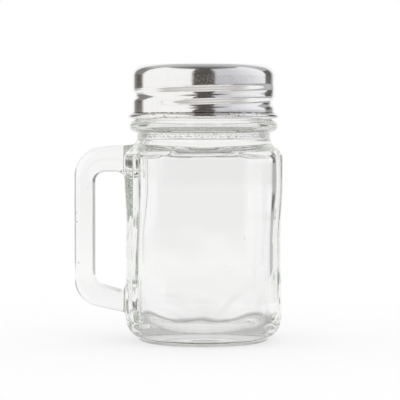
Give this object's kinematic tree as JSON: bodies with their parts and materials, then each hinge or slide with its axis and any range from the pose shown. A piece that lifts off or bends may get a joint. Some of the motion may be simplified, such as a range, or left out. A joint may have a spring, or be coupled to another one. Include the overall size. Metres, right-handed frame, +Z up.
{
  "type": "mason jar salt shaker",
  "caption": "Small square glass mug jar with a side handle and a stainless screw cap pierced with sprinkle holes, used as a salt shaker.",
  "frame": {"origin": "centre of the foot ring on the surface the jar stands on, on the axis of the neck and cap", "axes": "+Z up along the neck's axis; the handle is on the -X side; the viewer of the picture stands on the -Y side"},
  "size_m": [0.0715, 0.0538, 0.095],
  "materials": {
    "jar_glass": "clear flint glass with a faint green cast in thick places",
    "handle_glass": "clear flint glass, fire polished",
    "cap_steel": "bright rolled stainless sheet with fine scuffs",
    "seal_plastic": "soft white foam"
  },
  "bodies": {
    "jar": {"jar": "jar_glass", "handle": "handle_glass"},
    "seal": {"seal_ring": "seal_plastic"},
    "cap": {"cap": "cap_steel"}
  },
  "joints": [
    {"name": "cap_lift", "type": "slide", "parent": "jar", "child": "seal", "axis": [0, 0, 1], "range_m": [0, 0.02117]},
    {"name": "cap_turn", "type": "hinge", "parent": "seal", "child": "cap", "pos_m": [0, 0, 0.0946], "axis": [0, 0, 1], "range_deg": [0, 1800]}
  ],
  "couplings": [
    {"joint": "cap_lift", "follows": "cap_turn", "m_per_rad": 0.00067375}
  ]
}
